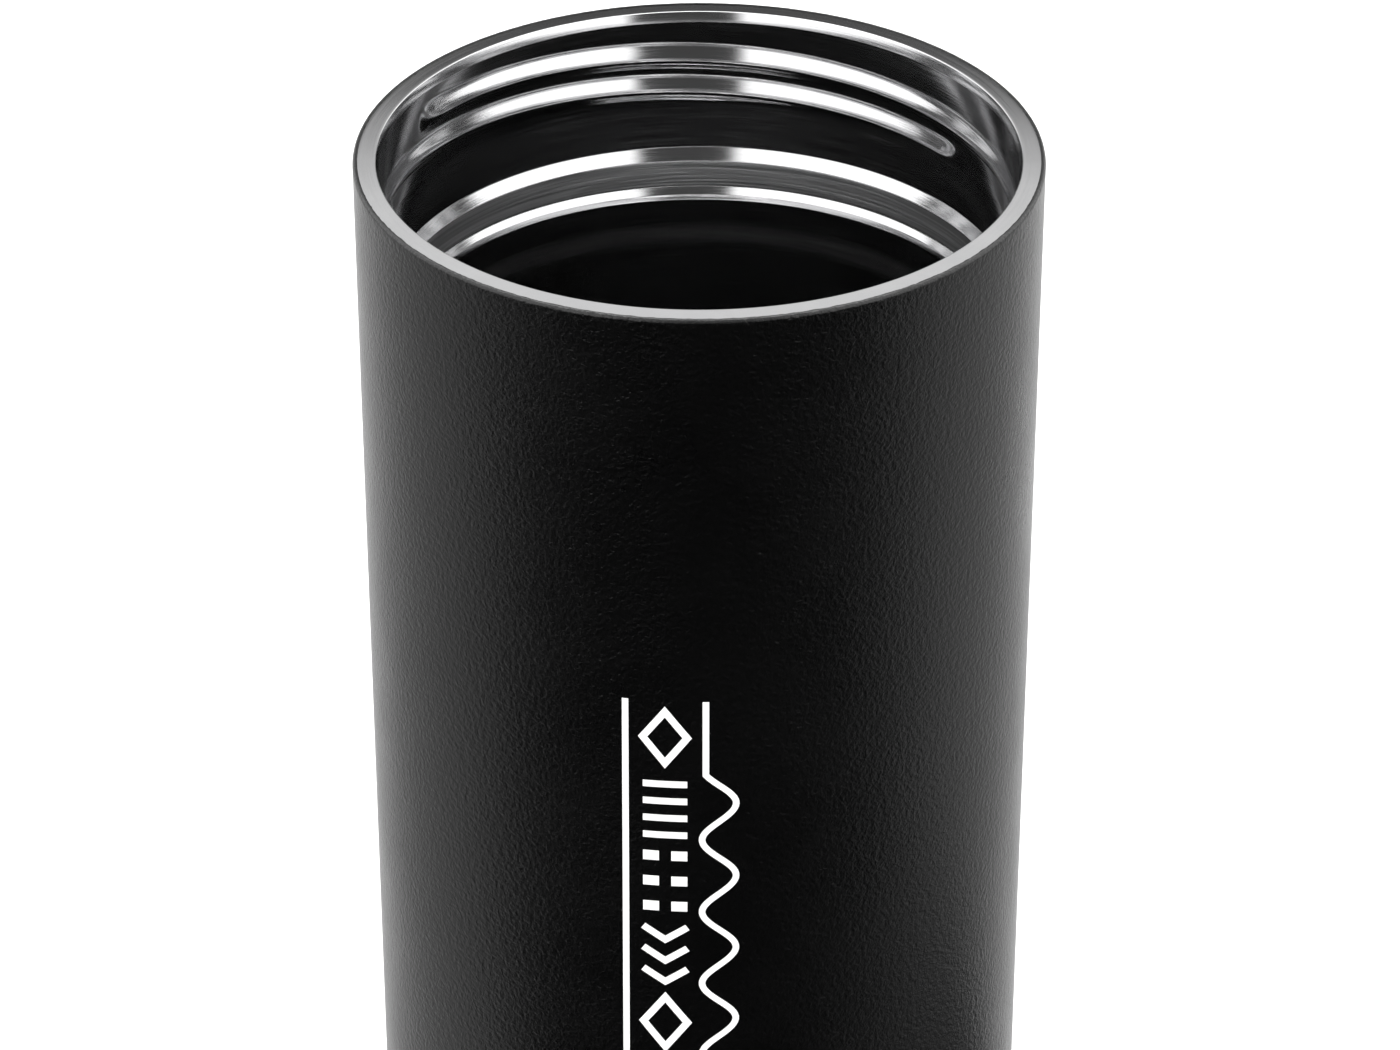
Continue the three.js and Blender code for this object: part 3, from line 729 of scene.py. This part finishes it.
# ---- Sizes of the lid ----
rim_gap = 0.3
plug_radius = mouth_radius - ridge_depth - 0.33
collar_bore = plug_radius - 2.1
nose_radius = vessel_radius - 0.5
skirt_bore = nose_radius - 1.7
skirt_depth = lid_base
groove_radius = nose_radius - 0.5
seal_top = 0.7 - wall_depth - neck_height
seal_height = 4.2
plug_depth = 13.7
seat_depth = 9.6
seat_bottom = -seat_depth - 2
disc_radius = skirt_bore - 2.6
seat_bore = disc_radius - 2.4
cover_top = 8
cover_radius = collar_bore - 2
cover_plate = 1.8
button_radius = 13.2
button_top = cover_top + 0.8
button_bore = button_radius + 0.3
guide_radius = button_bore + 2.1
boss_circle = (guide_radius + seat_bore) / 2
boss_radius = 2.7
screw_bore = 1.1
screw_head_bore = 2.2
wiper_middle = cover_top - 3.5
wiper_slot = 0.7  # half its height
stem_radius = 2.2
hub_bore = 6.5
hub_radius = 8.9
hub_floor = -13.7
hub_bottom = -14.9
web_top = -15.3
web_bottom = -16.8
gasket_radius = disc_radius - 0.95
stem_flange_bottom = -5.1
spoke_width = 3.2
spoke_height = 2.6
spider_bottom = -seat_depth + 0.1
spider_ring = 2
thread_top = -6.35
lid_ridge_depth = 0.75
lid_ridge_base = 1.9
lid_ridge_start = -20
lid_ridge_sweep = 200


def lid_body():
    """Collar: skirt, seal groove, threaded plug, grip flange, drinking lip and valve seat."""
    lip_radius = flange_radius - 1.6
    lip_round = 0.9
    lip_bottom = lip_height - 2.4
    groove_top = seal_top + 0.1
    groove_bottom = seal_top - seal_height - 0.1
    outline = filleted([
        (skirt_bore, -skirt_depth, 0.4), (nose_radius, -skirt_depth, 0.6), (nose_radius, groove_bottom, 0.2),
        (groove_radius, groove_bottom), (groove_radius, groove_top),
        (plug_radius - 0.9, groove_top, 0.2), (plug_radius, -plug_depth, 0.3),
    ], closed=False)
    outline += stretched((plug_radius, -plug_depth + 0.3), (plug_radius, rim_gap - 0.3), 0.15)
    outline += filleted([
        (plug_radius, rim_gap - 0.3), (plug_radius, rim_gap), (flange_radius - 0.45, rim_gap, 0.2),
        (flange_radius, rim_gap + 0.45, 0.3), (flange_radius, rim_gap + 3, 1.2),
        (lip_radius + 0.02, lip_bottom),
    ], closed=False)[1:]
    outline += arc(lip_radius - lip_round, lip_height - lip_round, lip_round, 0, 180, 16)
    outline += filleted([
        (lip_radius - 2 * lip_round, lip_bottom), (collar_bore, 3, 2), (collar_bore, -seat_depth, 0.5),
        (seat_bore, -seat_depth, 0.5), (seat_bore, seat_bottom, 0.3), (skirt_bore, seat_bottom, 0.4),
        (skirt_bore, -skirt_depth + 2),
    ], closed=False)

    def threaded(radius, height, degrees):
        if abs(radius - plug_radius) > 1e-6 or height > rim_gap - 0.2:
            return radius, height
        share = ridges_at(
            degrees, -height, first_top=-thread_top - 0.7, height=lid_ridge_base, start=lid_ridge_start,
            sweep=lid_ridge_sweep, rise=0.4, fall=0.4)
        return radius + lid_ridge_depth * share, height

    made = in_lid(turned("lid_body", outline, 480, threaded))
    return placed(made, "lid", "black_plastic", black_plastic, "lid_collar")


def lid_seal():
    """Ribbed silicone ring that meets the tumbler's sealing band."""
    inner = groove_radius + 0.1
    top = seal_top
    bottom = seal_top - seal_height
    outer_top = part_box("collar_seal")[1].x / MM - lid_x
    outline = filleted([
        (inner, bottom), (outer_top - 1.6, bottom, 0.2), (outer_top - 0.9, bottom + 0.6, 0.2),
        (outer_top - 1.0, bottom + 1.4, 0.15), (outer_top - 0.45, bottom + 1.9, 0.25),
        (outer_top - 0.6, bottom + 2.6, 0.15), (outer_top, bottom + 3.2, 0.3),
        (outer_top - 0.6, top, 0.3), (inner, top),
    ], closed=False)
    made = in_lid(turned("lid_seal", outline, 360))
    return placed(made, "lid", "silicone", rubber, "collar_seal")


def on_circle(count, radius):
    """Places on a circle, the first at the back."""
    angles = [math.pi / 2 - 2 * math.pi * i / count for i in range(count)]
    return [(radius * math.cos(a), radius * math.sin(a)) for a in angles]


def along_way(section, way, start, end):
    """A section of (across, height) points at two distances from the axis along a level direction."""
    x, y = way
    return [(along * x - across * y, along * y + across * x, height)
            for along in (start, end) for across, height in section]


def lid_cover():
    """Top plate round the button, with a turned-down edge, a shallow groove, a guide and three bosses."""
    under = cover_top - cover_plate
    edge_bore = cover_radius - 1.4
    edge_bottom = under - 2.4
    groove_floor = cover_top - 0.15
    slot_top = wiper_middle + wiper_slot
    slot_bottom = wiper_middle - wiper_slot
    slot_radius = button_bore + 1.2
    outline = filleted([
        (button_bore, 1, 0.2), (guide_radius, 1, 0.2), (guide_radius, under),
        (edge_bore, under), (edge_bore, edge_bottom, 0.3), (cover_radius, edge_bottom, 0.3),
        (cover_radius, cover_top, 0.9), (cover_radius - 2.2, cover_top, 0.2),
        (cover_radius - 2.4, groove_floor, 0.1), (cover_radius - 2.8, groove_floor, 0.1),
        (cover_radius - 3.0, cover_top, 0.2), (button_bore, cover_top, 0.5),
        (button_bore, slot_top), (slot_radius, slot_top), (slot_radius, slot_bottom),
        (button_bore, slot_bottom),
    ])
    parts = [turned("lid_cover", outline, 360)]
    for x, y in on_circle(3, boss_circle):
        boss = turned("boss", filleted([
            (screw_bore, -1, 0.1), (boss_radius, -1, 0.15), (boss_radius, under + 0.3),
            (screw_bore, under + 0.3)]), 48)
        parts.append(shifted(boss, x, y, 0))
    made = in_lid(joined("lid_cover", parts))
    return placed(made, "lid", "black_plastic", black_plastic, "top_cover")


def lid_wiper():
    """O-ring in the cover's guide."""
    outline = arc(button_bore + 0.5, wiper_middle, 0.6, 0, 337.5, 15)
    made = in_lid(turned("lid_wiper_ring", outline, 240))
    return placed(made, "lid", "silicone", rubber, "wiper_ring")


def lid_spider():
    """Ring, hub, three spokes and three screw bosses in white acetal."""
    ring_in = seat_bore + 0.3
    ring_out = collar_bore - 0.3
    ring_top = spider_bottom + spider_ring
    stem_bore = stem_radius + 0.3
    hub_top = 1.5
    boss_top = -1.1
    head_seat = spider_bottom + 1.3
    ring = turned("lid_spider", filleted([
        (ring_in, spider_bottom, 0.2), (ring_out, spider_bottom, 0.2),
        (ring_out, ring_top, 0.4), (ring_in, ring_top, 0.4)]), 360)
    hub = turned("hub", filleted([
        (stem_bore, hub_bottom, 0.1), (hub_radius, hub_bottom, 0.8), (hub_radius, hub_top, 0.3),
        (hub_bore, hub_top, 0.3), (hub_bore, hub_floor, 0.2), (stem_bore, hub_floor, 0.1)]), 180)
    parts = [ring, hub]
    spoke_start = hub_radius - 1.2
    spoke_end = seat_bore + 0.6
    spoke_top = spider_bottom + spoke_height
    section = filleted([
        (-spoke_width / 2, spider_bottom), (spoke_width / 2, spider_bottom),
        (spoke_width / 2, spoke_top, 0.6), (-spoke_width / 2, spoke_top, 0.6)])
    count = len(section)
    for i, way in enumerate(on_circle(3, 1)):
        vertices = along_way(section, way, spoke_start, spoke_end)
        faces = [(k, (k + 1) % count, count + (k + 1) % count, count + k) for k in range(count)]
        faces += [tuple(range(count))[::-1], tuple(range(count, 2 * count))]
        parts.append(mesh_object(f"spoke_{i}", vertices, faces))
    for x, y in on_circle(3, boss_circle):
        boss = turned("boss", filleted([
            (screw_head_bore, spider_bottom, 0.1), (boss_radius, spider_bottom, 0.15),
            (boss_radius, boss_top, 0.2), (screw_bore, boss_top, 0.1), (screw_bore, head_seat),
            (screw_head_bore, head_seat)]), 48)
        parts.append(shifted(boss, x, y, 0))
    made = in_lid(joined("lid_spider", parts))
    return placed(made, "lid", "white_acetal", acetal, "spider_frame")


def lid_spring():
    """Round-wire compression spring with closed ends."""
    radius = 4.2
    wire = 0.45
    turns = 5
    sides = 12
    end_share = 0.12  # share of the wire in each closed end
    low = hub_floor + 0.1 + wire
    high = stem_flange_bottom - 0.1 - wire
    steps = turns * 48
    vertices, faces = [], []
    for i in range(steps + 1):
        share = i / steps
        angle = 2 * math.pi * turns * share
        eased = min(1, max(0, (share - end_share) / (1 - 2 * end_share)))
        height = low + 0.5 * wire * min(share / end_share, 1) + (high - low - wire) * eased
        height += 0.5 * wire * max(0, (share - 1 + end_share) / end_share)
        for k in range(sides):
            around = 2 * math.pi * k / sides
            r = radius + wire * math.cos(around)
            vertices.append((r * math.cos(angle), r * math.sin(angle), height + wire * math.sin(around)))
    for i in range(steps):
        for k in range(sides):
            a = sides * i + k
            b = sides * i + (k + 1) % sides
            faces.append((a, a + sides, b + sides, b))
    faces += [tuple(range(sides)), tuple(range(sides * steps, sides * (steps + 1)))[::-1]]
    made = shifted(mesh_object("lid_spring", vertices, faces), lid_x, 0, lid_base)
    placed(made, "lid", "spring_steel", bright_steel, "valve_spring")
    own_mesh(made)
    return made


def lid_button():
    """Dished button with fine grip rings, a skirt and a toothed plunger."""
    dish_depth = 0.5
    dish_floor = button_top - dish_depth
    under = dish_floor - 1.6
    skirt_bottom = button_top - 7.3
    plunger_in = 4.4
    plunger_out = 6.2
    plunger_bottom = 1.5
    grip_rings = []
    for k in range(4):
        radius = 9.6 - 1.3 * k
        height = dish_floor + 0.1 * (radius / 8.9) ** 2
        grip_rings += [(radius + 0.3, height), (radius + 0.15, height + 0.16, 0.1),
                       (radius - 0.15, height + 0.16, 0.1), (radius - 0.3, height)]
    outline = filleted([
        (0, under), (plunger_in, under), (plunger_in, plunger_bottom), (plunger_out, plunger_bottom),
        (plunger_out, under), (button_radius - 1.4, under), (button_radius - 1.4, skirt_bottom, 0.2),
        (button_radius, skirt_bottom, 0.2), (button_radius, button_top, 0.6),
        (10.6, button_top - 0.38, 1.5), *grip_rings, (0, dish_floor),
    ], closed=False)
    parts = [turned("lid_button", outline, 240)]
    tooth = [(-1.3, 1.7), (1.3, 1.7), (-1.3, 0.2)]
    faces = [(0, 1, 2), (5, 4, 3), (0, 3, 4, 1), (1, 4, 5, 2), (2, 5, 3, 0)]
    for i, way in enumerate(on_circle(8, 1)):
        vertices = along_way(tooth, way, plunger_in + 0.1, plunger_out - 0.1)
        parts.append(mesh_object(f"tooth_{i}", vertices, faces))
    made = in_lid(joined("lid_button", parts))
    return placed(made, "button", "black_plastic", black_plastic, "button_cap")


def valve_plate():
    """Dished valve disc with a slot in its rim for the gasket."""
    rim_top = seat_bottom - 2
    rim_low = rim_top - 1.5
    slot_floor = rim_top - 0.8
    slot_in = gasket_radius - 0.5
    slot_out = gasket_radius + 0.5
    dish_out = slot_in - 1.5
    dish_in = dish_out - 1.5
    outline = filleted([
        (screw_bore, web_bottom), (dish_in, web_bottom, 1), (dish_out, rim_low, 1),
        (disc_radius, rim_low, 0.7), (disc_radius, rim_top, 0.2), (slot_out, rim_top),
        (slot_out, slot_floor), (slot_in, slot_floor), (slot_in, rim_top), (dish_out, rim_top, 0.5),
        (dish_in, web_top, 0.8), (screw_bore, web_top),
    ])
    made = in_lid(turned("valve_plate", outline, 300))
    return placed(made, "valve", "black_plastic", black_plastic, "valve_disc")


def valve_seal():
    """Silicone ring on the valve disc, with a foot in the disc's slot."""
    half_width = 1.25
    foot_half = 0.4
    low = seat_bottom - 1.9
    high = seat_bottom - 0.1
    foot = low - 0.8
    outline = filleted([
        (gasket_radius - foot_half, foot, 0.1), (gasket_radius + foot_half, foot, 0.1),
        (gasket_radius + foot_half, low), (gasket_radius + half_width, low, 0.2),
        (gasket_radius + half_width, high, 0.7), (gasket_radius - half_width, high, 0.7),
        (gasket_radius - half_width, low, 0.2), (gasket_radius - foot_half, low),
    ])
    made = in_lid(turned("valve_seal", outline, 300))
    return placed(made, "valve", "silicone", rubber, "valve_gasket")


def stem_bolt():
    """Low-headed screw under the valve disc, with a six-lobed socket."""
    low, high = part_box("stem_screw")
    bottom = low.z / MM - lid_base
    top = high.z / MM - lid_base
    shank = 1.0
    socket_floor = bottom + 0.6
    head_top = bottom + 1.1
    outline = filleted([
        (0, socket_floor), (shank, socket_floor), (shank, bottom), (2.1, bottom, 0.3),
        (2.1, head_top, 0.1), (shank, head_top), (shank, top - 1.0), (0, top)], closed=False)

    def socketed(radius, height, degrees):
        if radius > shank + 0.01 or height > socket_floor + 0.01:
            return radius, height
        return radius * (1 + 0.14 * math.cos(math.radians(6 * degrees))), height

    made = in_lid(turned("stem_bolt", outline, 96, socketed))
    return placed(made, "valve", "spring_steel", bright_steel, "stem_screw")


lid_body()
lid_seal()
lid_cover()
lid_wiper()
lid_spider()
lid_spring()
lid_button()
valve_plate()
valve_seal()
stem_bolt()

# ---- Finishes of the CAD pieces that stay ----
kept_finishes = {
    "base_dish": (steel, "liner_steel"),
    "port_seal": (glass, "solder_glass"),
    "getter_pellet": (getter, "getter_alloy"),
    "getter_clip": (bright_steel, "spring_steel"),
    "cover_screw_1": (bright_steel, "spring_steel"),
    "cover_screw_2": (bright_steel, "spring_steel"),
    "cover_screw_3": (bright_steel, "spring_steel"),
    "click_rotor": (acetal, "white_acetal"),
    "valve_stem": (bright_steel, "spring_steel"),
}
for name, (finish, slot) in kept_finishes.items():
    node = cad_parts[name]
    node.data.materials.clear()
    node.data.materials.append(finish)

# ---- Studio ----
camera_shift = 0.084  # to the right
camera_distance = 1000  # from the rim's centre
camera_elevation = math.radians(27.36)
camera_pitch = math.radians(29.585)
camera_lens = 244.2
floor_size = 6000


def camera():
    data = bpy.data.cameras.new("camera")
    data.sensor_width = 36
    data.lens = camera_lens
    data.clip_start = 0.05
    data.clip_end = 50
    made = bpy.data.objects.new("camera", data)
    bpy.context.scene.collection.objects.link(made)
    made.location = Vector((
        camera_shift, -camera_distance * math.cos(camera_elevation),
        rim_height + camera_distance * math.sin(camera_elevation))) * MM
    made.rotation_euler = (math.pi / 2 - camera_pitch, 0, 0)
    bpy.context.scene.camera = made


def floor():
    half = floor_size / 2
    corners = [(-half, -half, 0), (half, -half, 0), (half, half, 0), (-half, half, 0)]
    made = mesh_object("floor", corners, [(0, 1, 2, 3)])
    f = Finish("floor_paper", Roughness=0.9, Specular_IOR_Level=0.0)
    fibre = f.noise(0.3, detail=3)
    f.colour(f.mix(fibre, (0.9, 0.9, 0.9), (0.93, 0.93, 0.93)))
    made.data.materials.append(f.material)
    made.visible_glossy = False


def studio():
    """White walls at the sides and behind, a dark gap where the camera stands, and a white ceiling."""
    world = bpy.data.worlds.new("studio")
    bpy.context.scene.world = world
    world.use_nodes = True
    nodes = Nodes(world.node_tree)
    background = nodes.tree.nodes["Background"]
    gap_middle = 5  # degrees, off the camera's side
    ceiling_light = 0.7
    paper_light = 0.95

    split = nodes.node("ShaderNodeSeparateXYZ")
    nodes.link(nodes.node("ShaderNodeTexCoord").outputs["Generated"], split.inputs[0])
    x, y, z = split.outputs
    turn = nodes.math("MULTIPLY", nodes.math("ARCTAN2", x, nodes.math("MULTIPLY", y, -1.0)), 180 / math.pi)
    side = nodes.math("ABSOLUTE", turn)  # degrees away from the camera's side
    # low down it is dark in front, brighter at the sides and brightest behind
    low_sides = nodes.span(side, 64, 88, 0, 0.62, smooth=True)
    low_back = nodes.span(side, 125, 165, 0, 0.8, smooth=True)
    low_wall = nodes.math("ADD", low_sides, low_back)
    # higher up it is bright beside the gap, and behind only above a threshold
    off_gap = nodes.math("ABSOLUTE", nodes.math("SUBTRACT", turn, gap_middle))
    front_wall = nodes.span(off_gap, 16, 22, 0.08, 2.0, smooth=True)
    back_wall = nodes.span(z, 0.37, 0.5, 0.1, 1.0, smooth=True)
    behind = nodes.span(side, 138, 162, 0, 1, smooth=True)
    high_wall = nodes.blend(behind, front_wall, back_wall)
    above_level = nodes.span(z, -0.1, 0.04, 0, 1, smooth=True)
    wall = nodes.blend(above_level, low_wall, high_wall)
    overhead = nodes.span(z, 0.8, 0.96, 0, 1, smooth=True)
    light = nodes.blend(overhead, wall, ceiling_light)
    seen = nodes.node("ShaderNodeLightPath").outputs["Is Camera Ray"]
    nodes.link(nodes.blend(seen, light, paper_light), background.inputs["Strength"])
    background.inputs["Color"].default_value = (1, 1, 1, 1)


def softbox(name, place, aim, size, power):
    data = bpy.data.lights.new(name, "AREA")
    data.shape = "RECTANGLE"
    data.size = size[0] * MM
    data.size_y = size[1] * MM
    data.energy = power
    made = bpy.data.objects.new(name, data)
    bpy.context.scene.collection.objects.link(made)
    made.location = Vector(place) * MM
    made.rotation_euler = (Vector(aim) - Vector(place)).to_track_quat("-Z", "Y").to_euler()
    return made


camera()
floor()
studio()
softbox("top_light", place=(0, 500, 1600), aim=(0, 200, 0), size=(1600, 900), power=22)
bpy.context.scene.view_settings.view_transform = "Standard"
